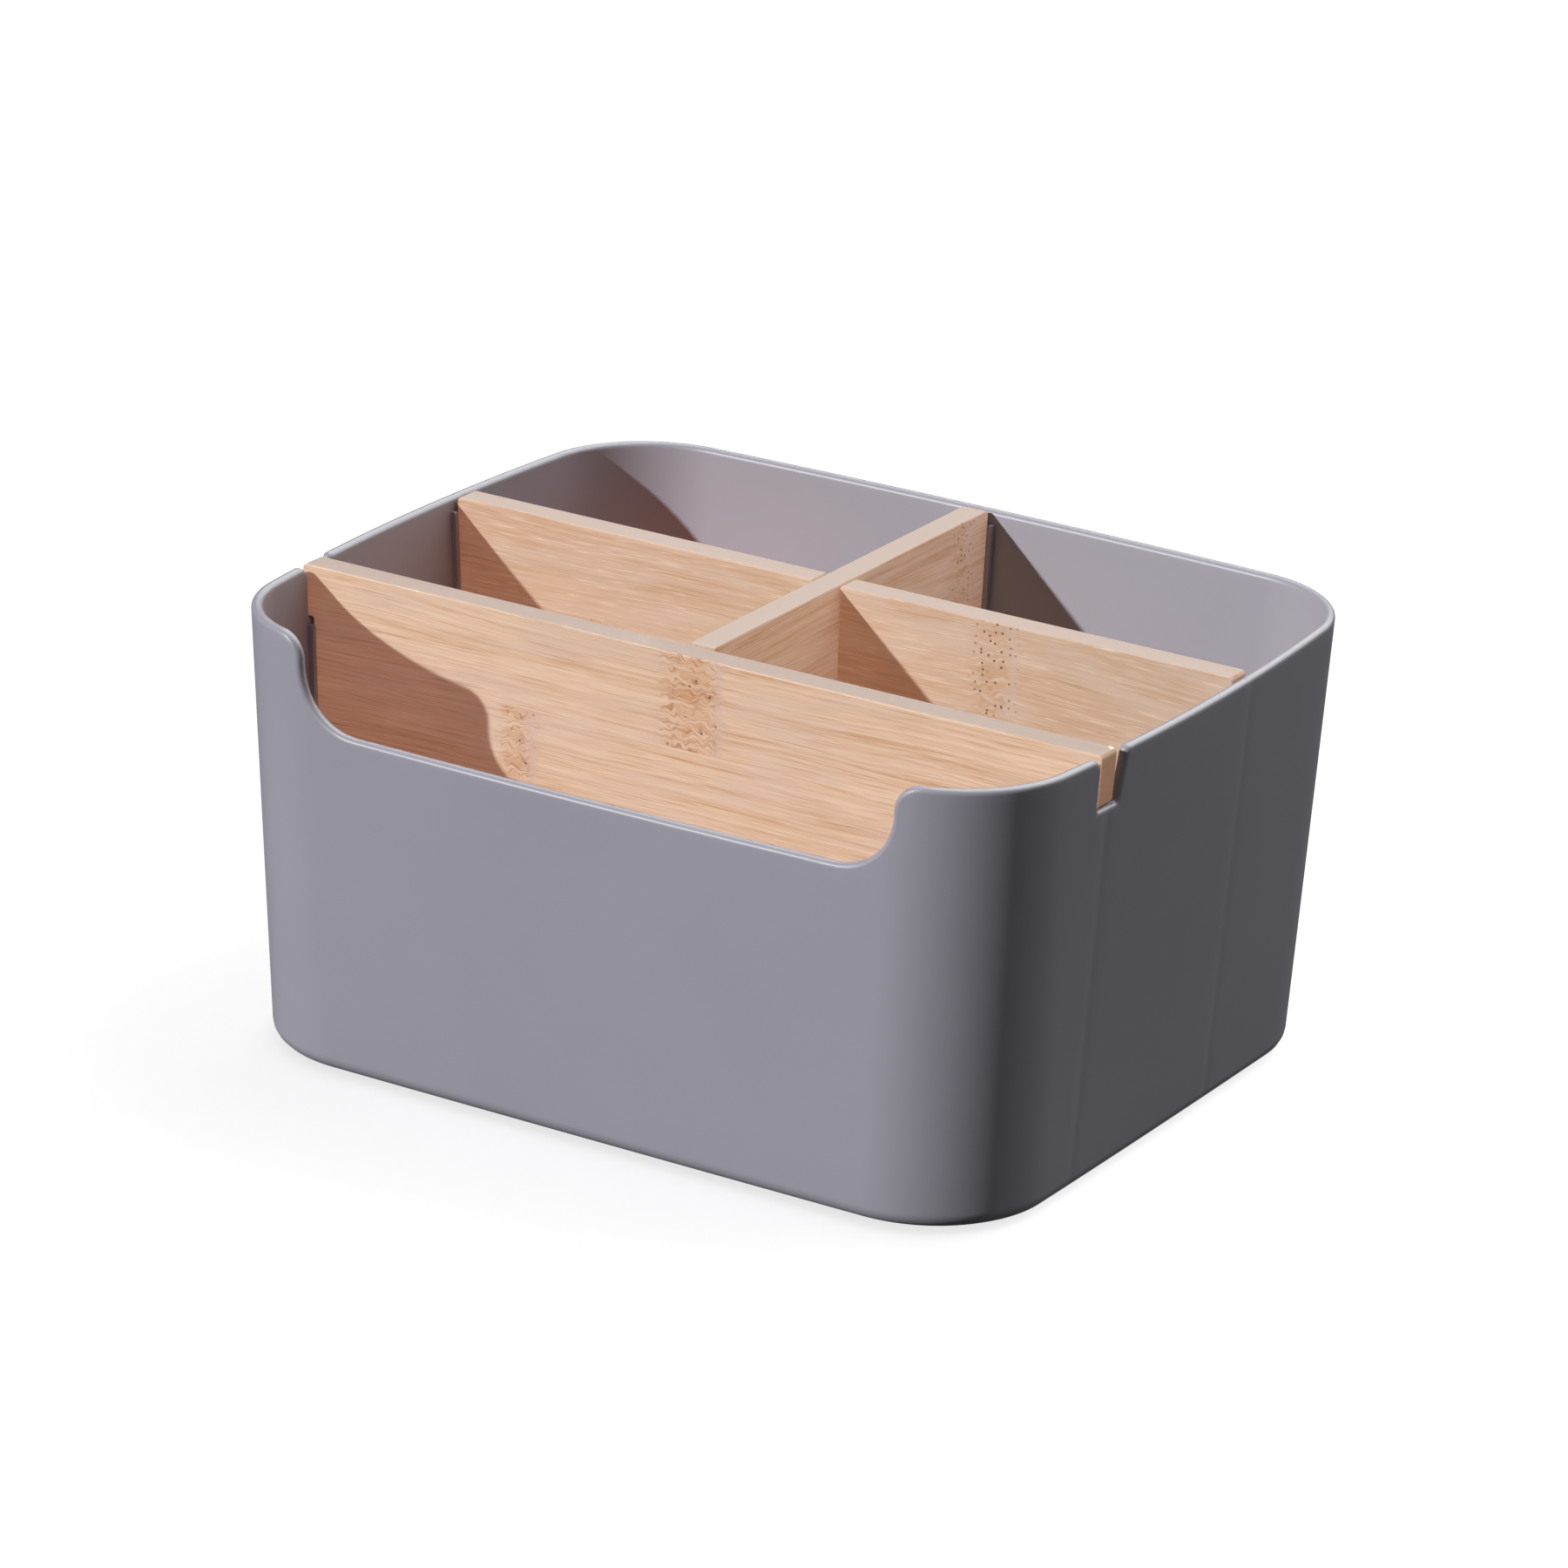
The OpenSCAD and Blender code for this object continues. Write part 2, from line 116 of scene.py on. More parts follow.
@lru_cache(maxsize=None)
def tub_arcs(z):
    """The eight arcs of the tub's outline at height z: centre, radius, first and last angle."""
    half_width = toward_rim(RIM_WIDTH / 2 - SIDE_LEAN, RIM_WIDTH / 2, z)
    half_depth = toward_rim(RIM_DEPTH / 2 - FRONT_LEAN, RIM_DEPTH / 2, z)
    bow_share = toward_rim(FOOT_BOW_SHARE, 1, z)
    side_radius = bow_radius(half_depth, SIDE_BOW * bow_share)
    front_radius = bow_radius(half_width, FRONT_BOW * bow_share)
    side = Vector((half_width - side_radius, 0))
    front = Vector((0, half_depth - front_radius))
    from_side = side_radius - CORNER_RADIUS
    from_front = front_radius - CORNER_RADIUS
    apart = (front - side).length
    way = (front - side) / apart
    along = (from_side**2 - from_front**2 + apart**2) / (2 * apart)
    across = math.sqrt(from_side**2 - along**2)
    corner = side + along * way + across * Vector((-way.y, way.x))
    low = math.atan2(corner.y, corner.x - side.x)
    high = math.atan2(corner.y - front.y, corner.x)
    half_turn, full_turn = math.pi, 2 * math.pi
    return (
        (side, side_radius, -low, low),
        (corner, CORNER_RADIUS, low, high),
        (front, front_radius, high, half_turn - high),
        (Vector((-corner.x, corner.y)), CORNER_RADIUS, half_turn - high, half_turn - low),
        (-side, side_radius, half_turn - low, half_turn + low),
        (-corner, CORNER_RADIUS, half_turn + low, half_turn + high),
        (-front, front_radius, half_turn + high, full_turn - high),
        (Vector((corner.x, -corner.y)), CORNER_RADIUS, full_turn - high, full_turn - low),
    )


ARC_LENGTHS = [radius * (last - first) for _, radius, first, last in tub_arcs(TUB_HEIGHT)]
ARC_STARTS = [sum(ARC_LENGTHS[:k]) for k in range(len(ARC_LENGTHS))]
RIM_LENGTH = sum(ARC_LENGTHS)


def tub_point(run, z, inset):
    """The outline's point at height z and a run along the rim, moved in by inset."""
    run %= RIM_LENGTH
    k = max(i for i, start in enumerate(ARC_STARTS) if start <= run)
    centre, radius, first, last = tub_arcs(z)[k]
    angle = first + (last - first) * (run - ARC_STARTS[k]) / ARC_LENGTHS[k]
    reach = radius - inset
    return Vector((centre.x + reach * math.cos(angle), centre.y + reach * math.sin(angle), z))


def run_at_front(x, z):
    """The run where the front half of the outline passes x at height z."""
    slack = 0.001
    for k in (5, 6, 7):
        centre, radius, first, last = tub_arcs(z)[k]
        cosine = (x - centre.x) / radius
        if abs(cosine) <= 1:
            share = (2 * math.pi - math.acos(cosine) - first) / (last - first)
            if -slack <= share <= 1 + slack:
                return ARC_STARTS[k] + share * ARC_LENGTHS[k]
    raise ValueError("the front does not reach this x")


def run_at_right(y, z):
    _, radius, first, last = tub_arcs(z)[0]
    return ARC_LENGTHS[0] * (math.asin(y / radius) - first) / (last - first)


def run_at_left(forward, z):
    return ARC_STARTS[4] + run_at_right(forward, z)


def inner_side(y, z):
    """Half the clear width of the tub at depth y and height z."""
    centre, radius, _, _ = tub_arcs(z)[0]
    return centre.x + math.sqrt((radius - WALL)**2 - y**2)


def inner_back(x, z):
    """The inner face of the back wall at width x and height z."""
    centre, radius, _, _ = tub_arcs(z)[2]
    return centre.y + math.sqrt((radius - WALL)**2 - x**2)


def rounded_run(corners, drop, closed):
    """Points along a run of (along, height, radius) corners.

    The run is moved by drop into the material on its right.
    """
    arc_step, longest = math.radians(8), 4
    spots = [Vector(corner[:2]) for corner in corners]
    arcs = []
    for i, here in enumerate(spots):
        if not closed and i in (0, len(spots) - 1):
            way = spots[1] - spots[0] if i == 0 else spots[-1] - spots[-2]
            arcs.append([here - drop * Vector((-way.y, way.x)).normalized()])
            continue
        radius = corners[i][2]
        before = (here - spots[i - 1]).normalized()
        after = (spots[(i + 1) % len(spots)] - here).normalized()
        turn = math.atan2(before.x * after.y - before.y * after.x, before.dot(after))
        side = math.copysign(1, turn)
        centre = here - before * radius * math.tan(abs(turn) / 2)
        centre += Vector((-before.y, before.x)) * side * radius
        steps = max(2, math.ceil(abs(turn) / arc_step))
        ways = [Matrix.Rotation(turn * step / steps, 2) @ before for step in range(steps + 1)]
        reach = max(radius + side * drop, 0)
        arcs.append([centre + Vector((way.y, -way.x)) * side * reach for way in ways])
    points = []
    for i, arc in enumerate(arcs):
        points += arc
        if closed or i < len(arcs) - 1:
            start, end = arc[-1], arcs[(i + 1) % len(arcs)][0]
            plain = spots[(i + 1) % len(arcs)] - spots[i]
            parts = max(1, round(plain.length / longest))
            points += [start.lerp(end, part / parts) for part in range(1, parts)]
    return points


def edge_steps(thickness, rounding, steps=4):
    """Steps over an edge with two rounded corners.

    Each is the way through the thickness and the drop below the edge.
    """
    turns = [math.pi / 2 * step / steps for step in range(steps + 1)]
    outer = [(rounding * (1 - math.cos(turn)), rounding * (1 - math.sin(turn)))
             for turn in turns]
    return outer + [(thickness - through, drop) for through, drop in reversed(outer)]


# The plain rim at each end of a cut in it
LEAD_IN = 1


def low_front(drop):
    half = LOW_FRONT_WIDTH / 2
    start = half + HORN_TOP_RADIUS + LEAD_IN
    corners = [
        (-start, TUB_HEIGHT, 0), (-half, TUB_HEIGHT, HORN_TOP_RADIUS),
        (-half, LIP, HORN_FOOT_RADIUS), (half, LIP, HORN_FOOT_RADIUS),
        (half, TUB_HEIGHT, HORN_TOP_RADIUS), (start, TUB_HEIGHT, 0),
    ]
    return [(run_at_front(x, z), z) for x, z in rounded_run(corners, drop, closed=False)]


def side_notch(drop, run_at):
    front = FRONT_BOARD_FRONT - NOTCH_GAP
    back = FRONT_BOARD_BACK + NOTCH_GAP
    flared = back + NOTCH_FLARE
    corners = [
        (front - NOTCH_FRONT_RADIUS - LEAD_IN, TUB_HEIGHT, 0),
        (front, TUB_HEIGHT, NOTCH_FRONT_RADIUS), (front, NOTCH_BOTTOM, NOTCH_LOW_RADIUS),
        (back, NOTCH_BOTTOM, NOTCH_LOW_RADIUS), (flared, TUB_HEIGHT, NOTCH_BACK_RADIUS),
        (flared + 2 * LEAD_IN, TUB_HEIGHT, 0),
    ]
    if run_at is run_at_left:
        corners = [(-y, z, radius) for y, z, radius in reversed(corners)]
    return [(run_at(y, z), z) for y, z in rounded_run(corners, drop, closed=False)]


def rim_features(drop):
    return [side_notch(drop, run_at_right), side_notch(drop, run_at_left), low_front(drop)]


# Points along the rim, which stand closer together on its corners
CORNER_SPACING = 1.2
SIDE_SPACING = 3.5
PLAIN_RUNS = []
for k, (start, length) in enumerate(zip(ARC_STARTS, ARC_LENGTHS)):
    parts = math.ceil(length / (CORNER_SPACING if k % 2 else SIDE_SPACING))
    PLAIN_RUNS += [start + length * part / parts for part in range(parts)]
FEATURE_SPANS = [(feature[0][0], feature[-1][0]) for feature in rim_features(0)]


def rim_line(drop):
    """The rim with its notches and low front as (run, height), moved down into the wall by drop."""
    margin = 0.6
    line, passed = [], 0
    for feature, (start, end) in zip(rim_features(drop), FEATURE_SPANS):
        plain = [run for run in PLAIN_RUNS if passed <= run < start - margin]
        line += [(run, TUB_HEIGHT - drop) for run in plain]
        line += feature
        passed = end + margin
    return line + [(run, TUB_HEIGHT - drop) for run in PLAIN_RUNS if run >= passed]


def add_ring(mesh, points):
    return [mesh.verts.new(point) for point in points]


def join_rings(mesh, rings):
    for low, high in zip(rings, rings[1:]):
        for i in range(len(low)):
            j = (i + 1) % len(low)
            mesh.faces.new((low[i], low[j], high[j], high[i]))


PATCH_FOOT = 55
PATCH_ROWS = [59, 63, 67, 71, 74.5, 79, 83, 87, 91, 94.5]


def fill_wall(mesh, inset, drop):
    """Skins the wall from PATCH_FOOT up to the rim's line with triangles."""
    near_squared, faces_inside, tolerance = 2.2, 1, 1e-6
    top = rim_line(drop)
    feet = [(run, PATCH_FOOT) for run in PLAIN_RUNS]
    seam = [(0, z) for z in PATCH_ROWS]
    far_seam = [(RIM_LENGTH, z) for z in reversed(PATCH_ROWS)]
    border = top + [(RIM_LENGTH, TUB_HEIGHT - drop)] + far_seam + [(RIM_LENGTH, PATCH_FOOT)]
    border += feet[::-1] + seam

    def inside(run, z):
        over = 0
        for (run_a, z_a), (run_b, z_b) in zip(top, top[1:]):
            if (run_a - run)**2 + (z_a - z)**2 < near_squared:
                return False
            if (run_a <= run) != (run_b <= run):
                over += z_a + (z_b - z_a) * (run - run_a) / (run_b - run_a) > z
        return over % 2 == 1 or run > top[-1][0]

    inner = [(run, z) for z in PATCH_ROWS for run in PLAIN_RUNS[1:] if inside(run, z)]
    spots = [Vector(spot) for spot in border + inner]
    loop = list(range(len(border)))
    corners, _, faces, *_ = delaunay_2d_cdt(spots, [], [loop], faces_inside, tolerance)
    verts = add_ring(mesh, [tub_point(corner.x, corner.y, inset) for corner in corners])
    for face in faces:
        mesh.faces.new([verts[i] for i in face])


def level_rings(mesh, section):
    """Rings of the outline for each (inset, height) of a section."""
    return [add_ring(mesh, [tub_point(run, z, inset) for run in PLAIN_RUNS])
            for inset, z in section]


def add_slab(mesh, corners, thickness, rounding, place):
    """A flat piece with a rounded outline and eased edges.

    place(along, through, height) sets it in space.
    """
    rings = []
    for through, drop in edge_steps(thickness, rounding):
        outline = rounded_run(corners, drop, closed=True)
        rings.append(add_ring(mesh, [place(along, through, z) for along, z in outline]))
    join_rings(mesh, rings)
    mesh.faces.new(rings[0])
    mesh.faces.new(rings[-1])


def rib_outline(low, high, top):
    """The outline of a rib on a wall whose inner face is at low by the floor, at high by top."""
    root = WALL / 2
    return [
        (low - RIB_REACH, FLOOR / 2, RIB_ROUNDING), (high - RIB_REACH, top, 2 * RIB_ROUNDING),
        (high + root, top, RIB_ROUNDING), (low + root, FLOOR / 2, RIB_ROUNDING),
    ]


def add_side_rib(mesh, y, top, mirrored):
    deepest = max(abs(y), abs(y + RIB))
    corners = rib_outline(inner_side(deepest, FLOOR), inner_side(deepest, top), top)
    add_slab(mesh, corners, RIB, RIB_ROUNDING,
             lambda x, through, z: Vector((mirrored * x, y + through, z)))


def add_back_rib(mesh, x):
    widest = max(abs(x), abs(x + RIB))
    corners = rib_outline(inner_back(widest, FLOOR), inner_back(widest, RIB_TOP), RIB_TOP)
    add_slab(mesh, corners, RIB, RIB_ROUNDING,
             lambda y, through, z: Vector((x + through, y, z)))


def make_piece(name, mesh, lift=LIFT):
    """Turns a mesh drawn in millimetres into a piece whose flats shade flat beside its edges."""
    merge_distance, crease = 0.004, math.radians(35)
    bmesh.ops.remove_doubles(mesh, verts=mesh.verts, dist=merge_distance)
    bmesh.ops.recalc_face_normals(mesh, faces=mesh.faces)
    to_metres = Matrix.Scale(MM, 4) @ Matrix.Translation((0, 0, lift))
    bmesh.ops.transform(mesh, matrix=to_metres, verts=mesh.verts)
    for face in mesh.faces:
        face.smooth = True
    for edge in mesh.edges:
        edge.smooth = len(edge.link_faces) == 2 and edge.calc_face_angle(0) < crease
    data = bpy.data.meshes.new(name)
    mesh.to_mesh(data)
    mesh.free()
    piece = bpy.data.objects.new(name, data)
    bpy.context.scene.collection.objects.link(piece)
    shading = piece.modifiers.new("flat_faces", "WEIGHTED_NORMAL")
    shading.keep_sharp = True
    return piece


fillet_steps = 5
quarter = [math.pi / 2 * step / fillet_steps for step in range(fillet_steps + 1)]
foot = [(FOOT_FILLET * (1 - math.sin(turn)), FOOT_FILLET * (1 - math.cos(turn)))
        for turn in quarter]
floor_turn = [(WALL + FLOOR_FILLET * (1 - math.cos(turn)),
               FLOOR + FLOOR_FILLET * (1 - math.sin(turn))) for turn in quarter]
outer_levels = (14, 25, 35, 45, PATCH_FOOT)
inner_levels = (PATCH_FOOT, 45, 35, 25, 15)
recess_inset = FOOT_FILLET + STANDING_EDGE
outer_section = [(recess_inset, RECESS), (recess_inset, 0)] + foot
outer_section += [(0, z) for z in outer_levels]
inner_section = [(WALL, z) for z in inner_levels] + floor_turn

tub_mesh = bmesh.new()
rim_rings = [add_ring(tub_mesh, [tub_point(run, z, inset) for run, z in rim_line(drop)])
             for inset, drop in edge_steps(WALL, RIM_ROUNDING)]
join_rings(tub_mesh, rim_rings)
fill_wall(tub_mesh, 0, RIM_ROUNDING)
fill_wall(tub_mesh, WALL, RIM_ROUNDING)
outer_rings = level_rings(tub_mesh, outer_section)
inner_rings = level_rings(tub_mesh, inner_section)
join_rings(tub_mesh, outer_rings)
join_rings(tub_mesh, inner_rings)
tub_mesh.faces.new(outer_rings[0])
tub_mesh.faces.new(inner_rings[-1])
side_ribs = [
    (FRONT_BOARD_FRONT - RIB_GAP - RIB, FRONT_RIB_TOP), (FRONT_BOARD_BACK + RIB_GAP, FRONT_RIB_TOP),
    (MIDDLE_BOARD_FRONT - RIB_GAP - RIB, RIB_TOP), (MIDDLE_BOARD_BACK + RIB_GAP, RIB_TOP),
]
for mirrored in (1, -1):
    for y, top in side_ribs:
        add_side_rib(tub_mesh, y, top, mirrored)
add_back_rib(tub_mesh, CROSS_BOARD_LEFT - RIB_GAP - RIB)
add_back_rib(tub_mesh, CROSS_BOARD_LEFT + BOARD + RIB_GAP)
tub = make_piece("tub", tub_mesh)


def linear(colour):
    """An sRGB hex colour as linear red, green, blue and alpha."""
    shares = [int(colour[i:i + 2], 16) / 255 for i in (1, 3, 5)]
    return [share / 12.92 if share <= 0.04045 else ((share + 0.055) / 1.055)**2.4
            for share in shares] + [1]


def add(tree, kind, inputs=(), **settings):
    """Adds a shader node, sets its options and gives its sockets values or other nodes' outputs."""
    made = tree.nodes.new("ShaderNode" + kind)
    for name, value in settings.items():
        setattr(made, name, value)
    pairs = inputs.items() if isinstance(inputs, dict) else enumerate(inputs)
    for name, value in pairs:
        if isinstance(value, bpy.types.Node):
            value = value.outputs[0]
        if isinstance(value, bpy.types.NodeSocket):
            tree.links.new(value, made.inputs[name])
        else:
            made.inputs[name].default_value = value
    return made


def new_material(name):
    material = bpy.data.materials.new(name)
    material.use_nodes = True
    material.node_tree.nodes.clear()
    return material, material.node_tree


# The colour sockets of a Mix node: its two inputs and its output
COLOUR_A, COLOUR_B, MIXED = 6, 7, 2


# ABS has an IOR of about 1.54. Its spark-eroded mould leaves a fine, even grain of
# about 0.1 mm, drawn three times as coarse here so that it shows, and a soft gloss. The
# side walls sink a little where the thicker plastic of a pair of ribs cooled last.
def moulded_abs():
    material, tree = new_material("moulded_abs")
    place = add(tree, "TexCoord").outputs["Object"]
    grain_mm, cloud_mm = 0.3, 35
    grain = add(tree, "TexNoise", {"Vector": place, "Scale": 1 / (grain_mm * MM), "Detail": 1})
    cloud = add(tree, "TexNoise", {"Vector": place, "Scale": 1 / (cloud_mm * MM), "Detail": 2})
    colour = add(tree, "Mix", {
        "Factor": cloud, COLOUR_A: linear("#9d9ba6"), COLOUR_B: linear("#a2a0ab")},
        data_type="RGBA")
    roughness = add(tree, "MapRange", {"Value": cloud, "To Min": 0.4, "To Max": 0.46})

    depth = add(tree, "SeparateXYZ", (place,)).outputs["Y"]
    sink_half_width, sunk = 1.6 * MM, 0
    for board_middle in (FRONT_BOARD_BACK - BOARD / 2, MIDDLE_BOARD_BACK - BOARD / 2):
        away = add(tree, "Math", (depth, board_middle * MM), operation="SUBTRACT")
        spread = add(tree, "Math", (away, sink_half_width), operation="DIVIDE")
        squared = add(tree, "Math", (spread, spread), operation="MULTIPLY")
        dip = add(tree, "Math", (math.exp(-1), squared), operation="POWER")
        sunk = add(tree, "Math", (sunk, dip), operation="ADD")
    sink = add(tree, "Bump", {"Height": sunk, "Strength": 0.8, "Distance": 0.2 * MM},
               invert=True)
    bump = add(tree, "Bump", {
        "Height": grain, "Strength": 0.25, "Distance": 0.03 * MM, "Normal": sink})
    shader = add(tree, "BsdfPrincipled", {
        "Base Color": colour.outputs[MIXED], "Roughness": roughness, "Normal": bump,
        "IOR": 1.54})
    add(tree, "OutputMaterial", {"Surface": shader})
    return material


tub.data.materials.append(moulded_abs())
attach(tub, "tub")
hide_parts("shell")

# The boards: flat-pressed bamboo of 6 mm, glued from strips about 21 mm tall, sawn,
# sanded with eased edges and oiled. The front board hangs by its ears in the side
# notches. The middle and cross boards stand on the floor and lap halfway through each other.

EASING = 0.4
EAR_RECESS = 0.6
SLOT_CORNER = 0.7
BOARD_CORNER = 1.2
EAR_GAP = 0.3
CROSS_BOARD_GAP = 0.9
CROSS_BOARD_FRONT = FRONT_BOARD_BACK + CROSS_BOARD_GAP
LAP_GAP = 0.3
LAP_HEIGHT = (BOARD_BOTTOM + BOARD_TOP) / 2


def side_ends(front):
    """Half the length of a board from wall to wall at its bottom and top."""
    deepest = max(abs(front), abs(front + BOARD))
    return [inner_side(deepest, z) - END_GAP for z in (BOARD_BOTTOM, BOARD_TOP)]


def mirrored_outline(right_half):
    """A symmetric outline's corners, clockwise from the lower left, from its right half's."""
    left_half = [(-a, z, radius) for a, z, radius in right_half]
    return left_half[::-1] + right_half


low, high = side_ends(FRONT_BOARD_FRONT)
ear_bottom = NOTCH_BOTTOM + EAR_GAP
ear_root = inner_side(-FRONT_BOARD_FRONT, ear_bottom) - END_GAP
ear_low = inner_side(-FRONT_BOARD_FRONT, ear_bottom) + WALL - EAR_RECESS
ear_high = inner_side(-FRONT_BOARD_FRONT, BOARD_TOP) + WALL - EAR_RECESS
front_outline = mirrored_outline([
    (ear_high, BOARD_TOP, BOARD_CORNER), (ear_low, ear_bottom, SLOT_CORNER),
    (ear_root, ear_bottom, SLOT_CORNER), (low, BOARD_BOTTOM, FLOOR_FILLET)])

low, high = side_ends(MIDDLE_BOARD_FRONT)
slot_left = CROSS_BOARD_LEFT - LAP_GAP
slot_right = CROSS_BOARD_LEFT + BOARD + LAP_GAP
slot_bottom = LAP_HEIGHT - LAP_GAP / 2
middle_outline = [
    (-low, BOARD_BOTTOM, FLOOR_FILLET), (-high, BOARD_TOP, BOARD_CORNER),
    (slot_left, BOARD_TOP, SLOT_CORNER), (slot_left, slot_bottom, LAP_GAP),
    (slot_right, slot_bottom, LAP_GAP), (slot_right, BOARD_TOP, SLOT_CORNER),
    (high, BOARD_TOP, BOARD_CORNER), (low, BOARD_BOTTOM, FLOOR_FILLET)]

low, high = [inner_back(-CROSS_BOARD_LEFT, z) - END_GAP for z in (BOARD_BOTTOM, BOARD_TOP)]
slot_front = MIDDLE_BOARD_FRONT - LAP_GAP
slot_back = MIDDLE_BOARD_BACK + LAP_GAP
slot_top = LAP_HEIGHT + LAP_GAP / 2
cross_outline = [
    (CROSS_BOARD_FRONT, BOARD_BOTTOM, BOARD_CORNER), (CROSS_BOARD_FRONT, BOARD_TOP, BOARD_CORNER),
    (high, BOARD_TOP, BOARD_CORNER), (low, BOARD_BOTTOM, FLOOR_FILLET),
    (slot_back, BOARD_BOTTOM, SLOT_CORNER), (slot_back, slot_top, LAP_GAP),
    (slot_front, slot_top, LAP_GAP), (slot_front, BOARD_BOTTOM, SLOT_CORNER)]


# Bamboo has an IOR of about 1.5 under its oil. Fibre bundles of 0.3 to 1 mm run along the
# strips in long streaks, some dark and some pale, each strip has its own tone, and at a
# node of the stem the fibres curl and darken and the ends of their pores show as dots.
# The tops are painted paler, a painted highlight for the light they catch from above, and the sawn
# ends are painted darker as painted shade.
STRIP = 20.8
STRIP_JOINT = BOARD_TOP + LIFT - STRIP


def pressed_bamboo(name, length_axis, seed, tones, flecks, nodes, curls, pores):
    """Bamboo with streaks of three tones, a share of pale flecks, and nodes of the stem.

    A node is its place along the board, its strip, counted down from 0 at the top to -1 and
    -2, and its half width. curls and pores are how far its dark curls and its pores show.
    """
    material, tree = new_material(name)
    place = add(tree, "TexCoord").outputs["Object"]
    in_mm = add(tree, "VectorMath", (place, (1 / MM, 1 / MM, 1 / MM)), operation="MULTIPLY")
    axes = add(tree, "SeparateXYZ", (in_mm,)).outputs
    along, height = axes[length_axis], axes["Z"]
    through = axes["Y" if length_axis == "X" else "X"]

    above_joint = add(tree, "Math", (height, STRIP_JOINT), operation="SUBTRACT")
    strips_up = add(tree, "Math", (above_joint, STRIP), operation="DIVIDE")
    strip = add(tree, "Math", (strips_up,), operation="FLOOR")
    strip_seed = add(tree, "Math", (strip, seed), operation="ADD")
    strip_tone = add(tree, "TexWhiteNoise", {"W": strip_seed}, noise_dimensions="1D")

    # A node's two edges are ragged and soft, and a pale band lies along the far one
    ragged, soft_outside, soft_inside, band_outside, band_inside = 6, 2.5, 1.5, 1.8, 0.8
    wobble = add(tree, "TexNoise", {"Vector": in_mm, "Scale": 0.4, "Detail": 2})
    set_back = add(tree, "Math", (along, ragged / 2), operation="SUBTRACT")
    wobbled = add(tree, "Math", (wobble, ragged, set_back), operation="MULTIPLY_ADD")
    zone, far_edge = 0, 0
    for centre, number, half in nodes:
        there = add(tree, "Math", (strip, number, 0.5), operation="COMPARE")
        past = add(tree, "Math", (wobbled, centre), operation="SUBTRACT")
        off_centre = add(tree, "Math", (past,), operation="ABSOLUTE")
        core = add(tree, "MapRange", {
            "Value": off_centre, "From Min": half + soft_outside,
            "From Max": half - soft_inside, "To Max": there})
        past_edge = add(tree, "Math", (past, half), operation="SUBTRACT")
        off_edge = add(tree, "Math", (past_edge,), operation="ABSOLUTE")
        band = add(tree, "MapRange", {
            "Value": off_edge, "From Min": band_outside, "From Max": band_inside,
            "To Max": there})
        zone = add(tree, "Math", (zone, core), operation="MAXIMUM")
        far_edge = add(tree, "Math", (far_edge, band), operation="MAXIMUM")

    # The fibres wave by up to 5 mm in 70 mm and curl by up to 3 mm in a node. Each strip
    # comes from another place on the stem, so its figure is shifted
    wave_height, curl_height, strip_shift = 5, 3, 500
    wave_place = add(tree, "VectorMath", (in_mm, (0.014, 0.014, 0.05)), operation="MULTIPLY")
    wave = add(tree, "TexNoise", {"Vector": wave_place, "Scale": 1, "Detail": 1})
    curl = add(tree, "TexNoise", {"Vector": in_mm, "Scale": 0.5, "Detail": 0})
    curled = add(tree, "Math", (curl, curl_height, -curl_height / 2), operation="MULTIPLY_ADD")
    knotted = add(tree, "Math", (curled, zone), operation="MULTIPLY")
    bent = add(tree, "Math", (wave, wave_height, knotted), operation="MULTIPLY_ADD")
    waved = add(tree, "Math", (height, bent), operation="ADD")
    shifted = add(tree, "Math", (strip_tone, strip_shift, along), operation="MULTIPLY_ADD")
    grown = add(tree, "CombineXYZ", (shifted, through, waved))

    def fibres(sizes, detail, shift):
        """Noise drawn out along the board, of this length, thickness and height in mm."""
        stretched = add(tree, "VectorMath", (
            grown, [1 / size for size in sizes], (shift, shift, shift)),
            operation="MULTIPLY_ADD")
        return add(tree, "TexNoise", {
            "Vector": stretched, "Scale": 1, "Detail": detail, "Roughness": 0.6})

    def stained_or_painted_light(colour, pattern, low, high, most, stain_or_light_colour):
        """The colour with a stain, or with painted light or shade, whose share grows to most as a
        pattern goes from low to high.
        """
        share = add(tree, "MapRange", {
            "Value": pattern, "From Min": low, "From Max": high, "To Max": most})
        mixed = add(tree, "Mix", {
            "Factor": share, COLOUR_A: colour, COLOUR_B: linear(stain_or_light_colour)}, data_type="RGBA")
        return mixed.outputs[MIXED]

    cloud = fibres((120, 12, 5), 1, 3.1)
    streak = fibres((38, 2, 0.85), 2, 7.7)
    fine = fibres((12, 0.8, 0.35), 2, 1.9)
    strip_contrast = 0.05
    tone = add(tree, "Math", (strip_tone, strip_contrast, -strip_contrast / 2),
               operation="MULTIPLY_ADD")
    for pattern, share in ((cloud, 0.25), (streak, 0.42), (fine, 0.33)):
        tone = add(tree, "Math", (pattern, share, tone), operation="MULTIPLY_ADD")
    ramp = add(tree, "ValToRGB", (tone,))
    stops = ramp.color_ramp.elements
    stops[0].position, stops[0].color = 0.39, linear(tones[0])
    stops[1].position, stops[1].color = 0.62, linear(tones[2])
    stops.new(0.49).color = linear(tones[1])

    dull_patch = fibres((30, 10, 7), 1, 5.3)
    dark_fibre = fibres((22, 0.8, 0.3), 1, 9.1)
    pale_fleck = fibres((8, 0.5, 0.3), 1, 4.4)
    colour = stained_or_painted_light(ramp, dull_patch, 0.48, 0.62, 0.5, "#cdc0b0")
    colour = stained_or_painted_light(colour, dark_fibre, 0.6, 0.7, 0.75 * (1 - flecks), "#b28d68")
    colour = stained_or_painted_light(colour, pale_fleck, 0.61, 0.69, flecks, "#dfd5c3")

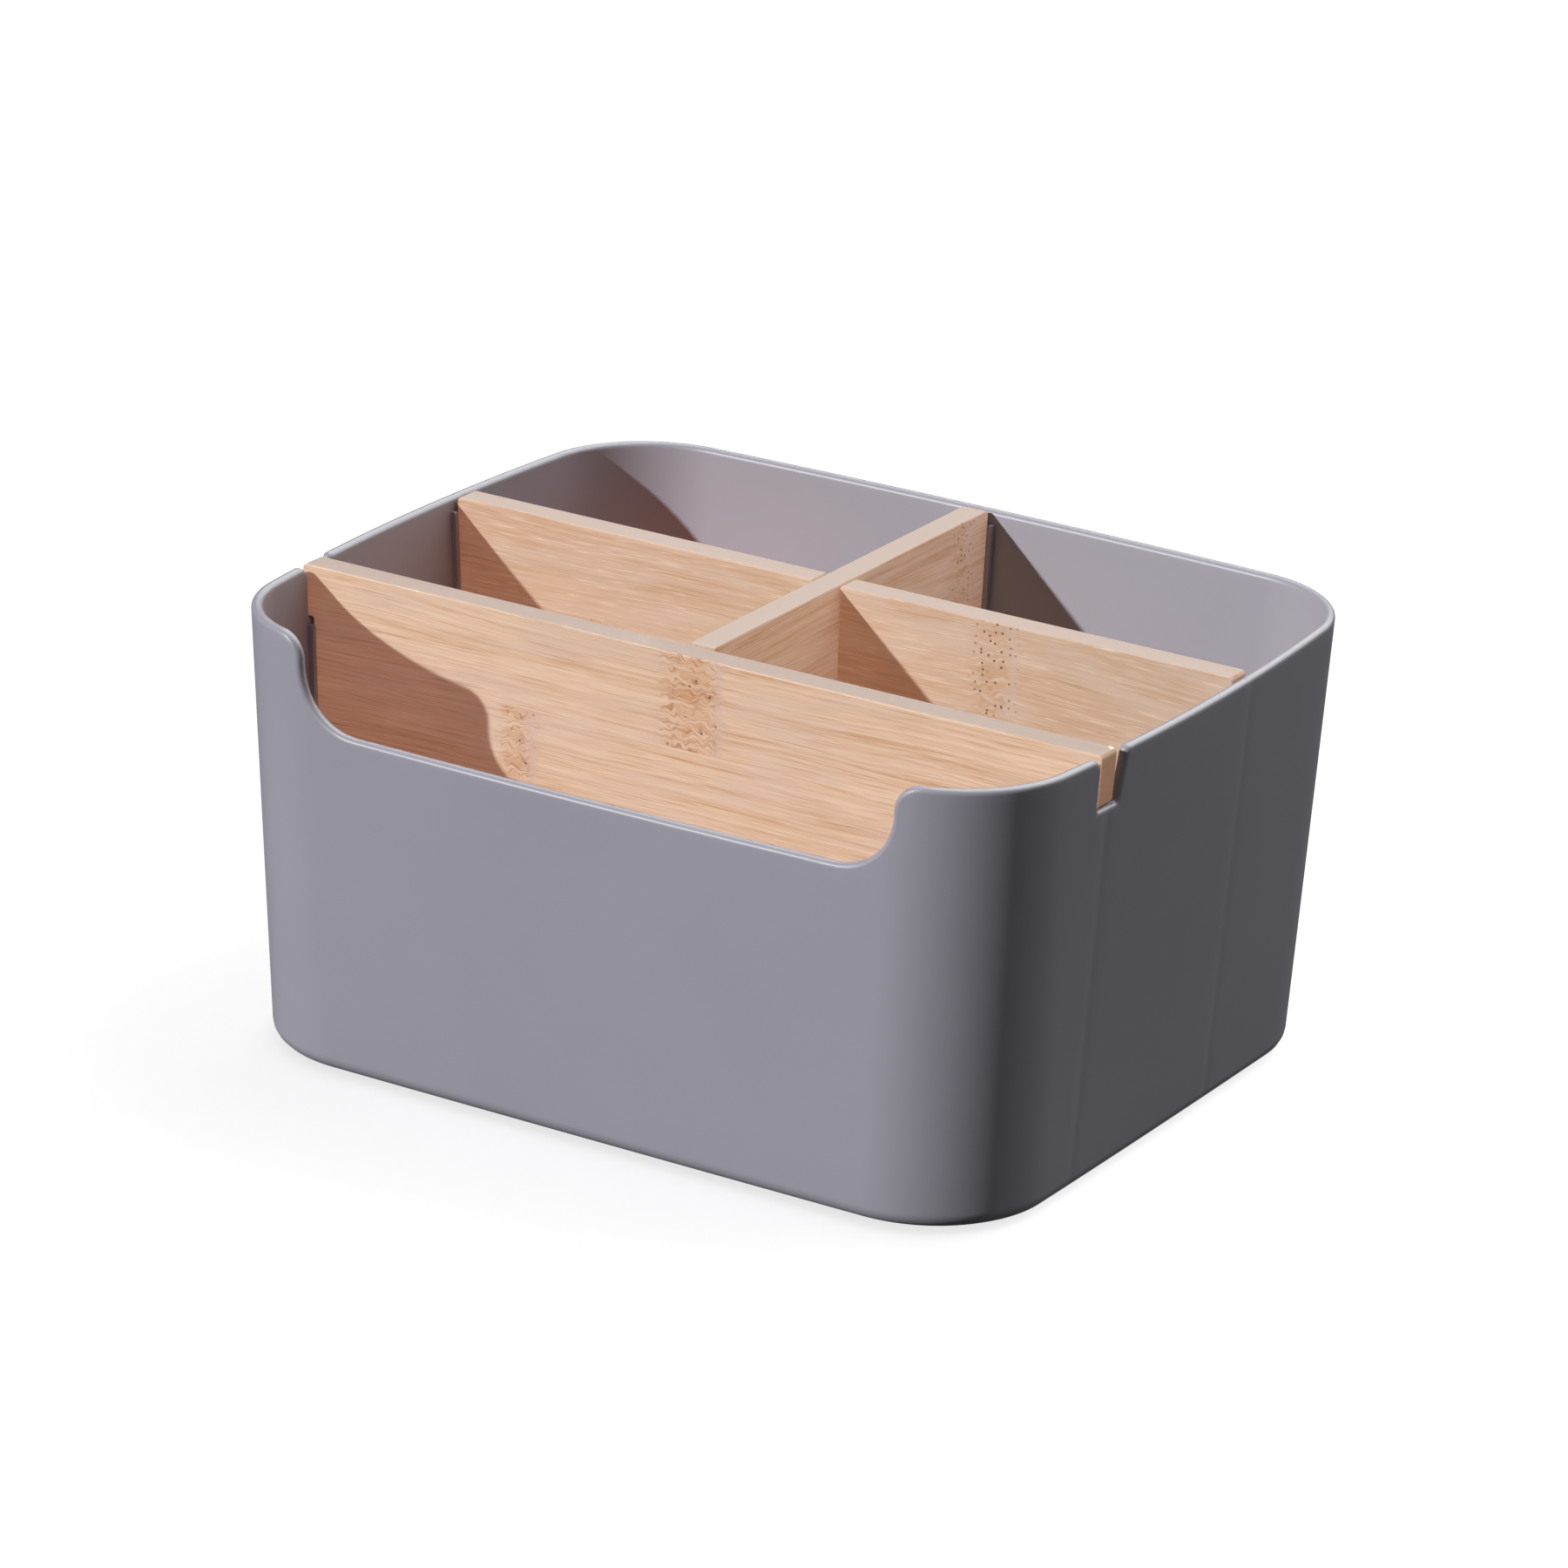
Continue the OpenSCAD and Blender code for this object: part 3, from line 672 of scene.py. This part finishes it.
    # In a node the fibres are tan, dark lines curl along one level of a noise, and the far
    # edge is pale. Pores stand about 1.7 mm apart. Real ones are 0.3 mm wide, and are drawn
    # about twice as wide here so that they show
    tan_fibre = fibres((9, 4, 1.6), 1, 6.2)
    tan_share = add(tree, "Math", (zone, 0.75 * curls), operation="MULTIPLY")
    colour = stained_or_painted_light(colour, tan_fibre, 0.42, 0.62, tan_share, "#c0966c")
    past_level = add(tree, "Math", (fibres((6, 2, 1), 1, 6.2), 0.47), operation="SUBTRACT")
    off_level = add(tree, "Math", (past_level,), operation="ABSOLUTE")
    line_share = add(tree, "Math", (zone, curls), operation="MULTIPLY")
    colour = stained_or_painted_light(colour, off_level, 0.045, 0.01, line_share, "#98683f")
    colour = stained_or_painted_light(colour, far_edge, 0, 1, 0.45, "#c8bcb4")
    face_place = add(tree, "CombineXYZ", (along, height))
    pore = add(tree, "TexVoronoi", {"Vector": face_place, "Scale": 0.6},
               voronoi_dimensions="2D").outputs
    drawn = add(tree, "SeparateXYZ", (pore["Color"],))
    chosen = add(tree, "Math", (drawn, pores), operation="LESS_THAN")
    pore_share = add(tree, "Math", (zone, chosen), operation="MULTIPLY")
    colour = stained_or_painted_light(colour, pore["Distance"], 0.22, 0.1, pore_share, "#6b5240")

    facing = add(tree, "SeparateXYZ", (add(tree, "NewGeometry").outputs["Normal"],)).outputs
    # Painted highlight: faces that point up are painted paler, for the light and reflection they
    # catch from above
    colour = stained_or_painted_light(colour, facing["Z"], 0.75, 0.98, 0.85, "#e6d5ca")
    # Painted shade: faces that point along the board, the sawn ends, are painted darker
    ends_painted_shade = add(tree, "Math", (facing[length_axis],), operation="ABSOLUTE")
    colour = stained_or_painted_light(colour, ends_painted_shade, 0.8, 0.98, 0.85, "#98806a")

    roughness = add(tree, "MapRange", {
        "Value": streak, "From Min": 0.3, "From Max": 0.7, "To Min": 0.62, "To Max": 0.5})
    relief = add(tree, "Math", (fine, streak), operation="ADD")
    bump = add(tree, "Bump", {"Height": relief, "Strength": 0.35, "Distance": 0.1 * MM})
    shader = add(tree, "BsdfPrincipled", {
        "Base Color": colour, "Roughness": roughness, "Normal": bump, "IOR": 1.5})
    add(tree, "OutputMaterial", {"Surface": shader})
    return material


def make_board(name, outline, place, body, material):
    mesh = bmesh.new()
    add_slab(mesh, outline, BOARD, EASING, place)
    board = make_piece(name, mesh)
    board.data.materials.append(material)
    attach(board, body)
    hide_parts(name.removesuffix("_dressed"))
    return board


boards = [
    make_board(
        "front_board_dressed", front_outline,
        lambda x, through, z: Vector((x, FRONT_BOARD_FRONT + through, z)), "front_divider",
        pressed_bamboo(
            "pressed_bamboo_front", "X", seed=3, tones=("#ba9b78", "#ceb99e", "#dacdb7"),
            flecks=0.35, nodes=[(0.6, 0, 6.5), (-42, -1, 3.6), (72, -2, 4)],
            curls=0.6, pores=0.05)),
    make_board(
        "middle_board_dressed", middle_outline,
        lambda x, through, z: Vector((x, MIDDLE_BOARD_FRONT + through, z)), "middle_divider",
        pressed_bamboo(
            "pressed_bamboo_middle", "X", seed=17, tones=("#bba285", "#c7b097", "#cfbda8"),
            flecks=0.6, nodes=[(40, 0, 4.5), (-60, -1, 4), (15, -2, 4)],
            curls=0.25, pores=0.5)),
    make_board(
        "cross_board_dressed", cross_outline,
        lambda y, through, z: Vector((CROSS_BOARD_LEFT + through, y, z)), "cross_divider",
        pressed_bamboo(
            "pressed_bamboo_cross", "Y", seed=29, tones=("#b59779", "#c4b096", "#cdbfa9"),
            flecks=0.4, nodes=[(67, 0, 3.5), (-12, -1, 4)], curls=0.3, pores=0.4)),
]

# The anti-slip pads: four soft discs of black rubber with a rounded edge and a fine
# rubbed surface, stuck into the recess under the tub near its corners.

PAD_RADIUS = 6
PAD_HEIGHT = LIFT + RECESS
PAD_ROUNDING = 0.4
PAD_FROM_EDGE = 3
PAD_STEPS = 48


# Rubber has an IOR of about 1.52. Its rubbed surface has a grain of about 0.5 mm.
def pad_rubber():
    material, tree = new_material("pad_rubber")
    place = add(tree, "TexCoord").outputs["Object"]
    grain_mm = 0.5
    grain = add(tree, "TexNoise", {"Vector": place, "Scale": 1 / (grain_mm * MM), "Detail": 2})
    colour = add(tree, "Mix", {
        "Factor": grain, COLOUR_A: linear("#232325"), COLOUR_B: linear("#333336")},
        data_type="RGBA")
    bump = add(tree, "Bump", {"Height": grain, "Strength": 0.3, "Distance": 0.05 * MM})
    shader = add(tree, "BsdfPrincipled", {
        "Base Color": colour.outputs[MIXED], "Roughness": 0.8, "Normal": bump, "IOR": 1.52})
    add(tree, "OutputMaterial", {"Surface": shader})
    return material


def make_pad(name, side_x, side_y, material):
    corner = tub_arcs(0)[1][0]
    reach = CORNER_RADIUS - recess_inset - PAD_FROM_EDGE - PAD_RADIUS
    middle = corner + reach * Vector((math.sqrt(0.5), math.sqrt(0.5)))
    turns = [2 * math.pi * step / PAD_STEPS for step in range(PAD_STEPS)]
    mesh = bmesh.new()
    rings = []
    for z, drop in edge_steps(PAD_HEIGHT, PAD_ROUNDING):
        radius = PAD_RADIUS - drop
        rings.append(add_ring(mesh, [
            Vector((side_x * middle.x + radius * math.cos(turn),
                    side_y * middle.y + radius * math.sin(turn), z)) for turn in turns]))
    join_rings(mesh, rings)
    mesh.faces.new(rings[0])
    mesh.faces.new(rings[-1])
    pad = make_piece(name + "_dressed", mesh, lift=0)
    pad.data.materials.append(material)
    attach(pad, "tub")
    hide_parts(name)


rubber = pad_rubber()
for side_x, word_x in ((-1, "left"), (1, "right")):
    for side_y, word_y in ((-1, "front"), (1, "rear")):
        make_pad(f"foot_pad_{word_y}_{word_x}", side_x, side_y, rubber)

# The studio: a pale floor under a white sky that is brightest high behind the box, a low
# key light from the front left that throws crisp shadows, fills and glows for the light
# that the boards and walls pass on, and a camera high on the right with a long lens.

FLOOR_HALF_METRES = 4


def pale_floor():
    material, tree = new_material("pale_floor")
    place = add(tree, "TexCoord").outputs["Object"]
    cloud = add(tree, "TexNoise", {"Vector": place, "Scale": 3, "Detail": 1})
    colour = add(tree, "Mix", {
        "Factor": cloud, COLOUR_A: linear("#f4f4f4"), COLOUR_B: linear("#f8f8f8")},
        data_type="RGBA")
    shader = add(tree, "BsdfPrincipled", {
        "Base Color": colour.outputs[MIXED], "Roughness": 0.9,
        "Emission Color": linear("#ffffff"), "Emission Strength": 0.75})
    add(tree, "OutputMaterial", {"Surface": shader})
    return material


floor_mesh = bmesh.new()
bmesh.ops.create_grid(floor_mesh, x_segments=1, y_segments=1, size=FLOOR_HALF_METRES)
floor_data = bpy.data.meshes.new("floor")
floor_mesh.to_mesh(floor_data)
floor_mesh.free()
floor = bpy.data.objects.new("floor", floor_data)
floor.data.materials.append(pale_floor())
bpy.context.scene.collection.objects.link(floor)
floor.visible_diffuse = False
floor.visible_glossy = False

world = bpy.data.worlds.new("white_studio")
world.use_nodes = True
tree = world.node_tree
tree.nodes.clear()
SKY_LOW, SKY_HIGH, SKY_FOCUS = 0.045, 1.4, 4
brightest = (0.354, 0.612, 0.707)
way = add(tree, "TexCoord").outputs["Generated"]
facing = add(tree, "VectorMath", (way, brightest), operation="DOT_PRODUCT").outputs["Value"]
toward = add(tree, "Math", (facing, 0), operation="MAXIMUM")
lobe = add(tree, "Math", (toward, SKY_FOCUS), operation="POWER")
strength = add(tree, "MapRange", {"Value": lobe, "To Min": SKY_LOW, "To Max": SKY_HIGH})
sky = add(tree, "Background", {"Color": linear("#ffffff"), "Strength": strength})
backdrop = add(tree, "Background", {"Color": linear("#ffffff"), "Strength": 1})
seen = add(tree, "LightPath").outputs["Is Camera Ray"]
mixed = add(tree, "MixShader", (seen, sky, backdrop))
add(tree, "OutputWorld", {"Surface": mixed})
bpy.context.scene.world = world


def receivers(name, pieces):
    """The pieces that a light falls on."""
    lit = bpy.data.collections.new(name)
    for piece in pieces:
        lit.objects.link(piece)
    return lit


only_tub = receivers("only_tub", [tub])
only_boards = receivers("only_boards", boards)
only_front_board = receivers("only_front_board", boards[:1])
only_middle_board = receivers("only_middle_board", boards[1:2])


def add_light(name, kind, energy, colour, lit, **settings):
    data = bpy.data.lights.new(name, kind)
    data.energy = energy
    data.color = colour
    for setting, value in settings.items():
        setattr(data, setting, value)
    light = bpy.data.objects.new(name, data)
    light.light_linking.receiver_collection = lit
    bpy.context.scene.collection.objects.link(light)
    return light


def turn_toward(light, way):
    light.rotation_mode = "QUATERNION"
    light.rotation_quaternion = Vector(way).to_track_quat("Z", "Y")


white = (1, 1, 1)
from_front_left, from_behind = (-0.47, -0.78, 0.41), (0.1, 0.6, 0.79)
for name, energy, lit in (("key_on_boards", 2.7, only_boards), ("key_on_tub", 3.3, only_tub)):
    key = add_light(name, "SUN", energy, white, lit, angle=math.radians(1.5))
    turn_toward(key, from_front_left)
edge_light = add_light("edge_light", "SUN", 6, white, only_tub, angle=math.radians(80))
turn_toward(edge_light, from_behind)
edge_light.visible_diffuse = False

# Light that the boards, walls and desk pass on to the boards' faces
for name, energy, colour, lit, way in (
        ("side_fill", 1.6, (1, 0.68, 0.6), only_boards, (0.97, 0, 0.25)),
        ("top_fill", 0.35, white, only_boards, (0, 0, 1)),
        ("front_fill", 1.08, (1, 0.48, 0.36), only_front_board, (-0.1, -1, 0))):
    turn_toward(add_light(name, "SUN", energy, colour, lit, use_shadow=False), way)
middle_fill = add_light(
    "middle_fill", "POINT", 1.8, (1, 0.48, 0.37), only_middle_board, use_shadow=False)
middle_fill.location = Vector((-200, -300, 60)) * MM
middle_fill.visible_glossy = False

# Warm light that the boards throw on the walls beside them
for name, energy, colour, place in (
        ("front_left_glow", 0.004, (1, 0.32, 0.18), (-70, -55, 60)),
        ("middle_left_glow", 0.01, (1, 0.34, 0.2), (-62, -10, 60)),
        ("rear_left_glow", 0.016, (1, 0.34, 0.2), (-62, 42, 62)),
        ("rear_right_glow", 0.003, (1, 0.45, 0.35), (45, 40, 60))):
    glow = add_light(name, "POINT", energy, colour, only_tub, shadow_soft_size=15 * MM)
    glow.location = Vector(place) * MM
    glow.visible_camera = False
    glow.visible_glossy = False

CAMERA_AZIMUTH = math.radians(31.13)
CAMERA_ELEVATION = math.radians(20.67)
CAMERA_ROLL = math.radians(2)
CAMERA_DISTANCE = 1607.3
CAMERA_AIM = Vector((-12.26, 17.91, 49.54))
SENSOR_WIDTH = 36
FOCAL_LENGTH = 170.94
camera_data = bpy.data.cameras.new("camera")
camera_data.sensor_width = SENSOR_WIDTH
camera_data.lens = FOCAL_LENGTH
camera = bpy.data.objects.new("camera", camera_data)
back = Vector((math.sin(CAMERA_AZIMUTH) * math.cos(CAMERA_ELEVATION),
               -math.cos(CAMERA_AZIMUTH) * math.cos(CAMERA_ELEVATION),
               math.sin(CAMERA_ELEVATION)))
camera.location = (CAMERA_AIM + back * CAMERA_DISTANCE) * MM
camera.rotation_mode = "QUATERNION"
camera.rotation_quaternion = back.to_track_quat("Z", "Y") @ Quaternion((0, 0, 1), CAMERA_ROLL)
bpy.context.scene.collection.objects.link(camera)
bpy.context.scene.camera = camera
bpy.context.scene.view_settings.view_transform = "Standard"
